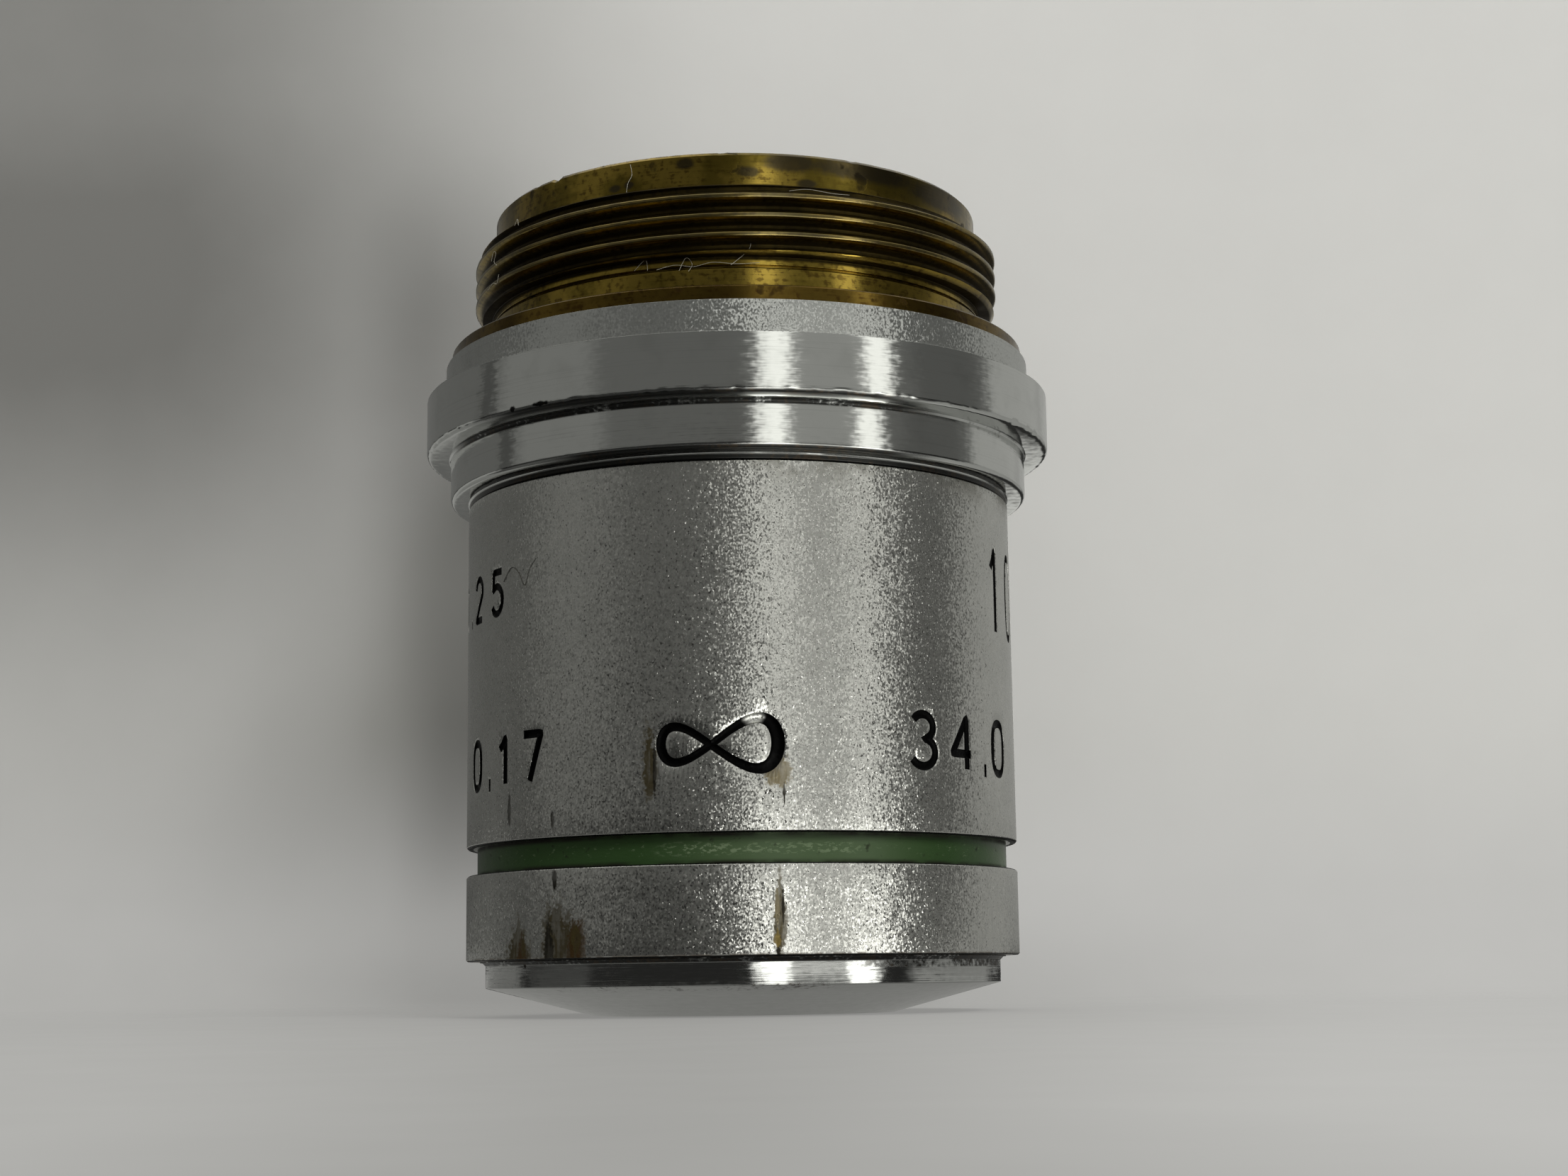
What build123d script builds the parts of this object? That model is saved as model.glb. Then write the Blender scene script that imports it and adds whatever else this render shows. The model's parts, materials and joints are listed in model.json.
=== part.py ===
from build123d import *
import os
from math import sqrt

# A low-power achromatic microscope objective, in millimetres. It stands on its flat front face:
# the origin is the centre of that face, and +Z runs along the optical axis towards the thread.

# Mounting thread, with the plain pilot behind it and the relief in front of it
thread_radius = 10.13
thread_height = 2.60
thread_start_depth = 0.50
thread_start_height = 0.25
thread_end_depth = 0.25
thread_end_height = 0.30
pilot_inset = 0.786
pilot_height = 1.31
pilot_bevel = 0.12
relief_inset = 0.66
relief_height = 0.30

# Main body, a tube that carries every other piece
body_inset = 1.23
body_wall = 1.60
body_lip_width = 0.90
body_lip_height = 0.80
cap_thread_depth = 0.60
rear_bore_step = 0.60
rear_bore_depth = 8.10
rear_bore_bevel = 0.30

# Shoulder ring, and the shim that sets its height
flange_proud = 0.67
flange_height = 0.58
flange_bevel = 0.06
recess_clearance = 0.12
recess_depth = 0.12
boss_wall = 0.62
boss_height = 1.05
boss_bevel = 0.05
shim_width = 0.40
shim_thickness = 0.10

# Shoulder collar: how far each band stands proud of the barrel, and how tall it is
satin_ring_proud = 0.89
satin_ring_height = 1.32
satin_ring_bevel = 0.08
upper_band_proud = 1.605
upper_band_height = 2.18
underside_cone_width = 0.54
underside_cone_rise = 0.08
lower_band_proud = 0.69
lower_band_height = 1.70
band_bevel = 0.12
neck_inset = 0.05
neck_height = 0.25
root_bevel = 0.07

# Barrel sleeve, and the enamelled groove round it
sleeve_wall = 1.41
sleeve_height = 16.97
sleeve_bevel = 0.06
sleeve_land = 2.20
sleeve_relief = 0.22
groove_offset = 3.12
groove_width = 1.02
groove_depth = 0.46
enamel_thickness = 0.06

# Nose cap
cone_width = 3.99
cone_height = 1.05
step_inset = 0.72
step_height = 0.93
step_root_bevel = 0.12
cap_lip_proud = 0.21
cap_lip_height = 0.05
cap_floor = 0.95
spigot_height = 2.50
opening_bevel = 0.45

# Front doublet, its cell and its ring. The inset is how far the lens's edge lies inside the body's
# bore, and the margin how far the cell stands past its ring.
front_cell_margin = 1.01
front_seat = 0.38
front_lens_inset = 3.00
front_seat_width = 0.55
front_flint_thickness = 0.90
front_inner_curve = 9.00
front_crown_edge = 0.60
front_rear_curve = 13.00
front_thread_width = 0.42
front_ring_overlap = 0.50
front_ring_height = 0.80

# Rear doublet, its cell and its ring
rear_cell_margin = 0.87
rear_seat = 0.80
rear_lens_inset = 1.30
rear_seat_width = 0.70
rear_flint_thickness = 1.00
rear_inner_curve = 14.00
rear_crown_edge = 0.70
rear_rear_curve = 20.00
rear_thread_width = 0.39
rear_ring_overlap = 0.60
rear_ring_height = 0.90

# Spacers and stops between the doublets, and the ring that clamps the stack
front_spacer_height = 3.95
rear_spacer_height = 3.95
spacer_wall = 0.70
stop_thickness = 0.30
stop_edge = 0.10
glare_stop_width = 2.27
aperture_stop_width = 2.67
stack_ring_width = 1.67
stack_ring_height = 1.50

# Slots for a pin spanner, and the clearances between pieces
slot_width = 1.20
slot_depth = 0.50
slide_gap = 0.03
end_gap = 0.05
overrun = 1.00

# Heights of the joints between pieces, from the front face up
lip_foot = cone_height + step_height
cap_top = lip_foot + cap_lip_height
groove_bottom = cap_top + groove_offset
groove_top = groove_bottom + groove_width
sleeve_top = cap_top + sleeve_height
neck_top = sleeve_top + neck_height
lower_band_top = neck_top + lower_band_height
upper_band_top = lower_band_top + upper_band_height
collar_top = upper_band_top + satin_ring_height
shoulder = collar_top + flange_height
boss_top = shoulder + boss_height
body_step = boss_top + shim_thickness
thread_bottom = body_step + relief_height
thread_top = thread_bottom + thread_height
rim = thread_top + pilot_height

# Radii that follow from the thread's
pilot_radius = thread_radius - pilot_inset
relief_radius = thread_radius - relief_inset
body_radius = thread_radius - body_inset
lens_bore = body_radius - body_wall
lip_bore = lens_bore - body_lip_width
rear_bore = lens_bore + rear_bore_step
cap_thread_radius = body_radius - cap_thread_depth
sleeve_bore = body_radius + slide_gap
barrel_radius = sleeve_bore + sleeve_wall
step_radius = barrel_radius - step_inset
cap_face_radius = step_radius - cone_width
groove_radius = barrel_radius - groove_depth
cell_radius = lens_bore - slide_gap
cell_nose_radius = lip_bore - slide_gap
front_lens_radius = lens_bore - front_lens_inset
opening_radius = front_lens_radius - front_seat_width
front_ring_bore = front_lens_radius - front_ring_overlap
rear_lens_radius = lens_bore - rear_lens_inset
rear_ring_bore = rear_lens_radius - rear_ring_overlap

# Each doublet: radius, flint thickness, cemented curve, crown's edge thickness and rear curve
front_glass = (
    front_lens_radius, front_flint_thickness, front_inner_curve, front_crown_edge, front_rear_curve
)
rear_glass = (rear_lens_radius, rear_flint_thickness, rear_inner_curve, rear_crown_edge, rear_rear_curve)


def sag(curve, height):
    """How far a spherical surface has fallen away at this height above the optical axis."""
    return curve - sqrt(curve**2 - height**2)


def rear_vertex(seat, radius, flint_thickness, inner_curve, crown_edge, rear_curve):
    """The height of a doublet's rear vertex, from the height of its seat."""
    return seat + flint_thickness + sag(inner_curve, radius) + crown_edge + sag(rear_curve, radius)


# Heights of the lens stack, from its seat on the body's lip up. Each ring rests on its crown lens.
body_foot = cap_top + end_gap
body_lip_top = body_foot + body_lip_height
cell_nose_foot = cap_floor + end_gap
front_lens_seat = cell_nose_foot + front_seat
front_ring_foot = rear_vertex(front_lens_seat, *front_glass) - sag(front_rear_curve, front_ring_bore)
front_ring_top = front_ring_foot + front_ring_height
front_spacer_foot = front_ring_top + front_cell_margin
glare_stop_foot = front_spacer_foot + front_spacer_height
rear_spacer_foot = glare_stop_foot + stop_thickness
rear_cell_foot = rear_spacer_foot + rear_spacer_height
rear_lens_seat = rear_cell_foot + rear_seat
rear_ring_foot = rear_vertex(rear_lens_seat, *rear_glass) - sag(rear_rear_curve, rear_ring_bore)
rear_ring_top = rear_ring_foot + rear_ring_height
aperture_stop_foot = rear_ring_top + rear_cell_margin
stack_ring_foot = aperture_stop_foot + stop_thickness
stack_ring_top = stack_ring_foot + stack_ring_height
rear_bore_floor = rim - rear_bore_depth


def turned(corners):
    """A solid of revolution from the corners (radius, height) of its half section.

    A corner's third number is the size of its bevel.
    """
    section = make_face(Polyline(*[(radius, height) for radius, height, *bevel in corners], close=True))
    for radius, height, *bevel in corners:
        if bevel:
            section = chamfer(section.vertices().sort_by_distance((radius, height))[0], *bevel)
    return revolve(Plane.XZ * section, Axis.Z)


def ring(inner, outer, foot, top):
    """A plain ring."""
    return turned([(inner, foot), (outer, foot), (outer, top), (inner, top)])


def slotted(blank, radius, top):
    """Cuts two spanner slots across the top of a ring."""
    return blank - Pos(0, 0, top) * Box(2 * (radius + overrun), slot_width, 2 * slot_depth)


def main_body():
    """The brass tube: rim, pilot, thread and relief, then the stem that the other pieces slide on.
    Its lip at the foot is the seat of the whole lens stack."""
    stem_step = cap_top + spigot_height + end_gap
    return turned([
        (pilot_radius, rim, pilot_bevel),
        (pilot_radius, thread_top),
        (thread_radius - thread_start_depth, thread_top),
        (thread_radius, thread_top - thread_start_height),
        (thread_radius, thread_bottom + thread_end_height),
        (thread_radius - thread_end_depth, thread_bottom),
        (relief_radius, thread_bottom),
        (relief_radius, body_step),
        (body_radius, body_step),
        (body_radius, stem_step),
        (cap_thread_radius, stem_step),
        (cap_thread_radius, body_foot),
        (lip_bore, body_foot),
        (lip_bore, body_lip_top),
        (lens_bore, body_lip_top),
        (lens_bore, rear_bore_floor),
        (rear_bore, rear_bore_floor),
        (rear_bore, rim, rear_bore_bevel),
    ])


def shoulder_ring():
    """The brass ring in front of the thread. The land round its flange is the seating face. The
    recess inside the land is wider than the thread, so that nothing overhangs the land."""
    flange_radius = barrel_radius + flange_proud
    recess_radius = thread_radius + recess_clearance
    boss_radius = sleeve_bore + boss_wall
    return turned([
        (sleeve_bore, collar_top),
        (flange_radius, collar_top, flange_bevel),
        (flange_radius, shoulder, flange_bevel),
        (recess_radius, shoulder),
        (recess_radius, shoulder - recess_depth),
        (boss_radius, shoulder - recess_depth),
        (boss_radius, boss_top, boss_bevel),
        (sleeve_bore, boss_top),
    ])


def parfocal_shim():
    """The washer that sets how far the shoulder stands from the specimen."""
    return ring(sleeve_bore, sleeve_bore + shim_width, boss_top, body_step)


def shoulder_collar():
    """The chromed collar, turned as one: neck, lower band, upper band and satin ring."""
    neck_radius = barrel_radius - neck_inset
    lower_band_radius = barrel_radius + lower_band_proud
    upper_band_radius = barrel_radius + upper_band_proud
    satin_ring_radius = barrel_radius + satin_ring_proud
    return turned([
        (sleeve_bore, collar_top),
        (satin_ring_radius, collar_top, satin_ring_bevel),
        (satin_ring_radius, upper_band_top),
        (upper_band_radius, upper_band_top, band_bevel),
        (upper_band_radius, lower_band_top + underside_cone_rise, band_bevel),
        (upper_band_radius - underside_cone_width, lower_band_top),
        (lower_band_radius, lower_band_top, root_bevel),
        (lower_band_radius, neck_top, band_bevel),
        (neck_radius, neck_top, root_bevel),
        (neck_radius, sleeve_top, neck_inset),
        (sleeve_bore, sleeve_top),
    ])


def barrel_sleeve():
    """The satin sleeve, with the colour groove outside and a relief between its two lands inside."""
    relief = sleeve_bore + sleeve_relief
    relief_foot = groove_top + sleeve_land
    relief_top = sleeve_top - sleeve_land
    return turned([
        (sleeve_bore, cap_top),
        (barrel_radius, cap_top, sleeve_bevel),
        (barrel_radius, groove_bottom, sleeve_bevel),
        (groove_radius, groove_bottom),
        (groove_radius, groove_top),
        (barrel_radius, groove_top, sleeve_bevel),
        (barrel_radius, sleeve_top, sleeve_bevel),
        (sleeve_bore, sleeve_top),
        (sleeve_bore, relief_top),
        (relief, relief_top),
        (relief, relief_foot),
        (sleeve_bore, relief_foot),
    ])


def colour_band():
    """The enamel that lies on the floor of the groove."""
    return ring(groove_radius, groove_radius + enamel_thickness, groove_bottom, groove_top)


def nose_cap():
    """The polished cap: flat face, shallow cone, step and lip, and the spigot that screws onto the
    body and pulls the sleeve up against the collar."""
    spigot_radius = sleeve_bore - slide_gap
    spigot_bore = cap_thread_radius + slide_gap
    pocket_radius = cell_nose_radius + slide_gap
    return turned([
        (opening_radius, 0, opening_bevel),
        (cap_face_radius, 0),
        (step_radius, cone_height),
        (step_radius, lip_foot, step_root_bevel),
        (step_radius + cap_lip_proud, lip_foot),
        (step_radius + cap_lip_proud, cap_top),
        (spigot_radius, cap_top),
        (spigot_radius, cap_top + spigot_height),
        (spigot_bore, cap_top + spigot_height),
        (spigot_bore, cap_top),
        (pocket_radius, cap_top),
        (pocket_radius, cap_floor),
        (opening_radius, cap_floor),
    ])


def surface(vertex, curve, radius):
    """The half section of a lens surface, from the axis out to the lens's edge.

    A positive curve bends away from the specimen towards the edge, and a curve of 0 is flat.
    """
    if not curve:
        return Line((0, vertex), (radius, vertex))
    side = abs(curve) / curve
    points = [(height, vertex + side * sag(abs(curve), height)) for height in (0, radius / 2, radius)]
    return ThreePointArc(*points)


def lens(front_vertex, front_curve, rear_vertex, rear_curve, radius):
    """A round lens element."""
    front = surface(front_vertex, front_curve, radius)
    rear = surface(rear_vertex, rear_curve, radius)
    section = make_face([front, Line(front @ 1, rear @ 1), rear, Line(rear @ 0, front @ 0)])
    return revolve(Plane.XZ * section, Axis.Z)


def doublet(seat, radius, flint_thickness, inner_curve, crown_edge, rear_curve):
    """A flint lens with its flat side towards the specimen, and the crown lens cemented into its
    hollow."""
    inner_vertex = seat + flint_thickness
    vertex = rear_vertex(seat, radius, flint_thickness, inner_curve, crown_edge, rear_curve)
    flint = lens(seat, 0, inner_vertex, inner_curve, radius)
    crown = lens(inner_vertex, inner_curve, vertex, -rear_curve, radius)
    return flint, crown


def front_group():
    """The front doublet, its cell and the ring that holds it down, by name."""
    flint, crown = doublet(front_lens_seat, *front_glass)
    pocket = front_lens_radius + slide_gap
    thread = pocket + front_thread_width
    cell = turned([
        (opening_radius, cell_nose_foot),
        (cell_nose_radius, cell_nose_foot),
        (cell_nose_radius, body_lip_top),
        (cell_radius, body_lip_top),
        (cell_radius, front_spacer_foot),
        (thread, front_spacer_foot),
        (thread, front_ring_foot),
        (pocket, front_ring_foot),
        (pocket, front_lens_seat),
        (opening_radius, front_lens_seat),
    ])
    keeper = ring(front_ring_bore, thread - slide_gap, front_ring_foot, front_ring_top)
    return {
        "front_cell": cell,
        "front_flint_lens": flint,
        "front_crown_lens": crown,
        "front_lens_ring": slotted(keeper, thread, front_ring_top),
    }


def rear_group():
    """The rear doublet, its cell and the ring that holds it down, by name."""
    flint, crown = doublet(rear_lens_seat, *rear_glass)
    pocket = rear_lens_radius + slide_gap
    thread = pocket + rear_thread_width
    cell_bore = rear_lens_radius - rear_seat_width
    cell = turned([
        (cell_bore, rear_cell_foot),
        (cell_radius, rear_cell_foot),
        (cell_radius, aperture_stop_foot),
        (thread, aperture_stop_foot),
        (thread, rear_ring_foot),
        (pocket, rear_ring_foot),
        (pocket, rear_lens_seat),
        (cell_bore, rear_lens_seat),
    ])
    keeper = ring(rear_ring_bore, thread - slide_gap, rear_ring_foot, rear_ring_top)
    return {
        "rear_cell": cell,
        "rear_flint_lens": flint,
        "rear_crown_lens": crown,
        "rear_lens_ring": slotted(keeper, thread, rear_ring_top),
    }


def stop(width, foot):
    """A thin disc, with its hole opened out at 45 degrees from behind down to a narrow edge."""
    bore = cell_radius - width
    slope = stop_thickness - stop_edge
    return turned([
        (bore, foot),
        (cell_radius, foot),
        (cell_radius, foot + stop_thickness),
        (bore + slope, foot + stop_thickness),
        (bore, foot + stop_edge),
    ])


def stack_pieces():
    """The spacers, the stops and the ring that clamps them, by name."""
    spacer_bore = cell_radius - spacer_wall
    clamp = ring(cell_radius - stack_ring_width, cell_radius, stack_ring_foot, stack_ring_top)
    return {
        "front_spacer": ring(spacer_bore, cell_radius, front_spacer_foot, glare_stop_foot),
        "glare_stop": stop(glare_stop_width, glare_stop_foot),
        "rear_spacer": ring(spacer_bore, cell_radius, rear_spacer_foot, rear_cell_foot),
        "aperture_stop": stop(aperture_stop_width, aperture_stop_foot),
        "stack_ring": slotted(clamp, cell_radius, stack_ring_top),
    }


pieces = {
    "main_body": main_body(),
    "shoulder_ring": shoulder_ring(),
    "parfocal_shim": parfocal_shim(),
    "shoulder_collar": shoulder_collar(),
    "barrel_sleeve": barrel_sleeve(),
    "colour_band": colour_band(),
    "nose_cap": nose_cap(),
}
pieces |= front_group() | rear_group() | stack_pieces()

os.makedirs("parts", exist_ok=True)
for name, solid in pieces.items():
    export_step(solid, f"parts/{name}.step")
    print(name, round(solid.volume, 2))
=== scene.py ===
import json
from math import atan2, cos, hypot, pi, radians, sin, tan
from random import Random

import bmesh
import bpy
from mathutils import Matrix, Vector, noise


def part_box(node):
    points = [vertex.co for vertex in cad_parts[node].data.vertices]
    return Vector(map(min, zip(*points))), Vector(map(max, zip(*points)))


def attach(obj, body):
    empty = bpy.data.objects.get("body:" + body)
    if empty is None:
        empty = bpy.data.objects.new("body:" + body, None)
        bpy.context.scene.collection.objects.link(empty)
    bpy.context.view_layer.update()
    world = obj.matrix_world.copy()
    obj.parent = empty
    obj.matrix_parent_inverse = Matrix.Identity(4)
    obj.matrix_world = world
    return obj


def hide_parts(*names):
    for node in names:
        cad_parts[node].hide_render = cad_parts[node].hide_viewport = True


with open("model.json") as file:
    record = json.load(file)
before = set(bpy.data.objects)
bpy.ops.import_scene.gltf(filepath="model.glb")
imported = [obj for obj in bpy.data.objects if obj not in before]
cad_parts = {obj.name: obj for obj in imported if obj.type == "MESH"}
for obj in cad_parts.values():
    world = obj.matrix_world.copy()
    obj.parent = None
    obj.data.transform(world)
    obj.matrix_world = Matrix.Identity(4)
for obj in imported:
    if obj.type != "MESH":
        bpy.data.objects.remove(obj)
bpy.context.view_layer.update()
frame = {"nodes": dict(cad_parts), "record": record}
nodes = frame["nodes"]
slots = {part["node"]: part["material_slot"] for part in frame["record"]["subparts"]}
mm = 0.001
print("frame:", len(nodes), "nodes")


# Node trees

class Wire:  # an output socket; a sum written on wires adds its Math nodes
    def __init__(self, tree, socket):
        self.tree = tree
        self.socket = socket

    def other(self, output):
        return Wire(self.tree, self.socket.node.outputs[output])

    def __add__(self, other):
        return self.tree.maths("ADD", self, other)

    def __radd__(self, other):
        return self.tree.maths("ADD", other, self)

    def __sub__(self, other):
        return self.tree.maths("SUBTRACT", self, other)

    def __rsub__(self, other):
        return self.tree.maths("SUBTRACT", other, self)

    def __mul__(self, other):
        return self.tree.maths("MULTIPLY", self, other)

    def __rmul__(self, other):
        return self.tree.maths("MULTIPLY", other, self)

    def __truediv__(self, other):
        return self.tree.maths("DIVIDE", self, other)

    def __pow__(self, other):
        return self.tree.maths("POWER", self, other)


class Tree:  # what shader trees and geometry trees share
    def __init__(self, tree):
        self.tree = tree
        tree.nodes.clear()

    def node(self, kind, settings=None, values=None, output=0):
        made = self.tree.nodes.new(kind)
        for name, value in (settings or {}).items():
            setattr(made, name, value)
        for name, value in (values or {}).items():
            if isinstance(value, Wire):
                self.tree.links.new(value.socket, made.inputs[name])
            else:
                made.inputs[name].default_value = value
        return Wire(self, made.outputs[output])

    def maths(self, operation, *values):
        return self.node("ShaderNodeMath", {"operation": operation}, dict(enumerate(values)))

    def highest(self, first, *others):
        for other in others:
            first = self.maths("MAXIMUM", first, other)
        return first


class Paint(Tree):  # the shader of a material or of the world
    def __init__(self, owner, coordinates="Object", unit=mm):
        owner.use_nodes = True
        super().__init__(owner.node_tree)
        self.owner = owner
        raw = self.node("ShaderNodeTexCoord", output=coordinates)
        self.place = self.vector("SCALE", {0: raw, "Scale": 1 / unit})
        self.x = self.node("ShaderNodeSeparateXYZ", values={0: self.place})
        self.y = self.x.other(1)
        self.height = self.x.other(2)
        self.radius = (self.x * self.x + self.y * self.y) ** 0.5
        self.azimuth = self.maths("ARCTAN2", self.x, -1 * self.y) * (180 / pi)

    def vector(self, operation, values):
        return self.node("ShaderNodeVectorMath", {"operation": operation}, values)

    def rise(self, value, low, high):  # 0 up to low, 1 from high on
        limits = {"Value": value, "From Min": low, "From Max": high}
        return self.node("ShaderNodeMapRange", {"interpolation_type": "SMOOTHSTEP"}, limits)

    def between(self, value, low, high, soft):
        return self.rise(value, low - soft, low + soft) * (1 - self.rise(value, high - soft, high + soft))

    def grain(self, scale, detail=2.0, stretch=(1, 1, 1), shift=0.0, rough=0.5):
        size = [scale * share for share in stretch]
        values = {"Vector": self.place, "Location": (shift, shift, shift), "Scale": size}
        values = {"Vector": self.node("ShaderNodeMapping", {}, values), "Scale": 1.0}
        return self.node("ShaderNodeTexNoise", {}, values | {"Detail": detail, "Roughness": rough})

    # Each grain's normal leans its own way
    def sparkle(self, scale, amount, stretch=(1, 1, 1), below=None, upright=1.0):
        place = self.vector("MULTIPLY", {0: self.place, 1: stretch})
        values = {"Vector": place, "Scale": scale, "Detail": 1.0}
        colour = self.node("ShaderNodeTexNoise", {}, values, output=1)
        lean = self.vector("SUBTRACT", {0: colour, 1: (0.5, 0.5, 0.5)})
        lean = self.vector("MULTIPLY", {0: lean, 1: (1, 1, upright)})
        lean = self.vector("SCALE", {0: lean, "Scale": amount})
        below = below or self.node("ShaderNodeNewGeometry", output="Normal")
        return self.vector("NORMALIZE", {0: self.vector("ADD", {0: below, 1: lean})})

    def mix(self, share, *colours):
        first, second = (colour if isinstance(colour, Wire) else (*colour, 1) for colour in colours)
        return self.node("ShaderNodeMix", {"data_type": "RGBA"}, {0: share, 6: first, 7: second}, output=2)

    # Angles in degrees, heights in mm
    def spot(self, azimuth, height, halfWidth, halfHeight, ragged, soft=0.35):
        across = (self.azimuth - azimuth) / halfWidth
        along = (self.height - height) / halfHeight
        reach = (across * across + along * along) ** 0.5 + ragged
        return 1 - self.rise(reach, 1 - soft, 1 + soft)

    # A power of 1 makes it pointed, of 3 blunt
    def stain(self, azimuth, low, widest, high, halfWidth, power, ragged, soft=0.2):
        across = self.maths("ABSOLUTE", self.azimuth - azimuth) / halfWidth
        above = self.height - widest
        along = self.highest(above / (high - widest), above / (low - widest))
        reach = (across ** power + along ** power) ** (1 / power)
        return 1 - self.rise(reach + ragged, 1 - soft, 1 + soft)

    def bump(self, height, distance, below=None):
        values = {"Height": height, "Distance": distance, "Strength": 1.0}
        if below:
            values["Normal"] = below
        return self.node("ShaderNodeBump", {}, values)

    def total(self, amounts, *shares):  # the first amount, and the others by their shares
        value = amounts[0]
        for amount, share in zip(amounts[1:], shares):
            value = value + share * amount
        return value

    def surface(self, values):
        return self.close(self.node("ShaderNodeBsdfPrincipled", {}, values))

    def close(self, shader, kind="ShaderNodeOutputMaterial"):
        end = self.tree.nodes.new(kind)
        self.tree.links.new(shader.socket, end.inputs["Surface"])
        return self.owner


def newPaint(name):
    return Paint(bpy.data.materials.new(name))


class Form(Tree):  # a geometry tree with named sizes
    def __init__(self, name, sizes):
        group = bpy.data.node_groups.new(name, "GeometryNodeTree")
        super().__init__(group)
        group.interface.new_socket("Geometry", in_out="OUTPUT", socket_type="NodeSocketGeometry")
        group.interface.new_socket("Geometry", in_out="INPUT", socket_type="NodeSocketGeometry")
        for size in sizes:
            group.interface.new_socket(size, in_out="INPUT", socket_type="NodeSocketFloat")
        group.interface.new_socket("Finish", in_out="INPUT", socket_type="NodeSocketMaterial")
        self.start = self.node("NodeGroupInput")
        self.sizes = {size: self.start.other(size) for size in sizes}
        self.place = self.node("GeometryNodeInputPosition")

    def end(self, geometry):
        real = self.node("GeometryNodeRealizeInstances", {}, {"Geometry": geometry})
        finish = self.start.other("Finish")
        dressed = self.node("GeometryNodeSetMaterial", {}, {"Geometry": real, "Material": finish})
        last = self.tree.nodes.new("NodeGroupOutput")
        self.tree.links.new(dressed.socket, last.inputs["Geometry"])

    def grow(self, piece, values):  # the piece's mesh after the tree, as a plain mesh
        modifier = piece.modifiers.new(self.tree.name, "NODES")
        modifier.node_group = self.tree
        for item in self.tree.interface.items_tree:
            if item.in_out == "INPUT" and item.name in values:
                modifier[item.identifier] = values[item.name]
        settle(piece, modifier)
        return piece


# What all pieces share

def settle(piece, modifier):  # the modifier's result becomes the piece's own mesh
    piece.update_tag()
    graph = bpy.context.evaluated_depsgraph_get()
    mesh = bpy.data.meshes.new_from_object(piece.evaluated_get(graph), depsgraph=graph)
    piece.modifiers.remove(modifier)
    piece.data = mesh


def applied(piece, kind, **settings):
    modifier = piece.modifiers.new(kind.lower(), kind)
    for name, value in settings.items():
        setattr(modifier, name, value)
    settle(piece, modifier)


def shaded(piece, sharpAbove=50):
    piece.data.shade_smooth()
    piece.data.set_sharp_from_angle(angle=radians(sharpAbove))
    applied(piece, "WEIGHTED_NORMAL", keep_sharp=True, weight=50)


def linked(name, points, edges, faces):
    mesh = bpy.data.meshes.new(name)
    mesh.from_pydata(points, edges, faces)
    piece = bpy.data.objects.new(name, mesh)
    bpy.context.scene.collection.objects.link(piece)
    return piece


def tidyNormals(mesh):
    shell = bmesh.new()
    shell.from_mesh(mesh)
    bmesh.ops.recalc_face_normals(shell, faces=shell.faces)
    shell.to_mesh(mesh)
    shell.free()


def dress(piece, material):
    piece.data.materials.clear()
    piece.data.materials.append(material)


def handOver(piece, node, material):  # the finished piece stands for the CAD node
    dress(piece, material)
    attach(piece, "root")
    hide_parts(node)
    print(piece.name, "stands for", node + ",", len(piece.data.polygons), "faces")


def polar(point):
    return hypot(point.x, point.y), atan2(point.x, -point.y), point.z


def fromPolar(radius, turn, height):
    return Vector((radius * sin(turn), -radius * cos(turn), height))


# Turned pieces: the half section of a CAD node is read back, softened and turned again

def sectionOf(node, near=3e-6):
    mesh = nodes[node].data
    rings = []
    ringOf = []
    for vertex in mesh.vertices:
        radius, height = hypot(vertex.co.x, vertex.co.y), vertex.co.z
        same = [k for k, (r, z) in enumerate(rings) if abs(r - radius) < near and abs(z - height) < near]
        if not same:
            rings.append((radius, height))
        ringOf.append(same[0] if same else len(rings) - 1)
    links = {k: set() for k in range(len(rings))}
    for edge in mesh.edges:
        first, second = (ringOf[index] for index in edge.vertices)
        if first != second:
            links[first].add(second)
            links[second].add(first)
    walk = [0]
    while True:
        onward = [k for k in links[walk[-1]] if k not in walk]
        if not onward:
            return [rings[k] for k in walk]
        walk.append(onward[0])


def within(section, inner=-1, outer=1, low=-1, high=1):  # radii and heights of the corners in there
    corners = [(r, z) for r, z in section if inner < r < outer and low < z < high]
    return [sorted(values) for values in zip(*corners)]


rounding = {
    "leastTurn": radians(8),  # a flatter corner isn't rounded
    "mostOfEdge": 0.45,
    "chamferReach": 0.2 * mm,
    "rowMargin": 0.01 * mm,
}


def softened(outline, radius, steps=4, share=lambda corner: 1):  # share is a corner's part of the radius
    rows = []
    count = len(outline)
    for k in range(count):
        before, here, after = (Vector(outline[(k + shift) % count]) for shift in (-1, 0, 1))
        back, on = before - here, after - here
        turn = pi - back.angle(on)
        if turn < rounding["leastTurn"]:
            rows.append(tuple(here))
            continue
        most = min(back.length, on.length) * rounding["mostOfEdge"]
        cut = min(radius * share(here) * tan(turn / 2), most)
        start, finish = here + back.normalized() * cut, here + on.normalized() * cut
        for step in range(steps + 1):
            t = step / steps
            point = start * (1 - t) ** 2 + here * (2 * t * (1 - t)) + finish * t ** 2
            rows.append(tuple(point))
    return rows


def squared(outline, corner):  # a chamfer near this corner becomes the plain corner
    reach = rounding["chamferReach"]
    rows = [corner if hypot(row[0] - corner[0], row[1] - corner[1]) < reach else row for row in outline]
    return [row for k, row in enumerate(rows) if row != rows[k - 1]]


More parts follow.
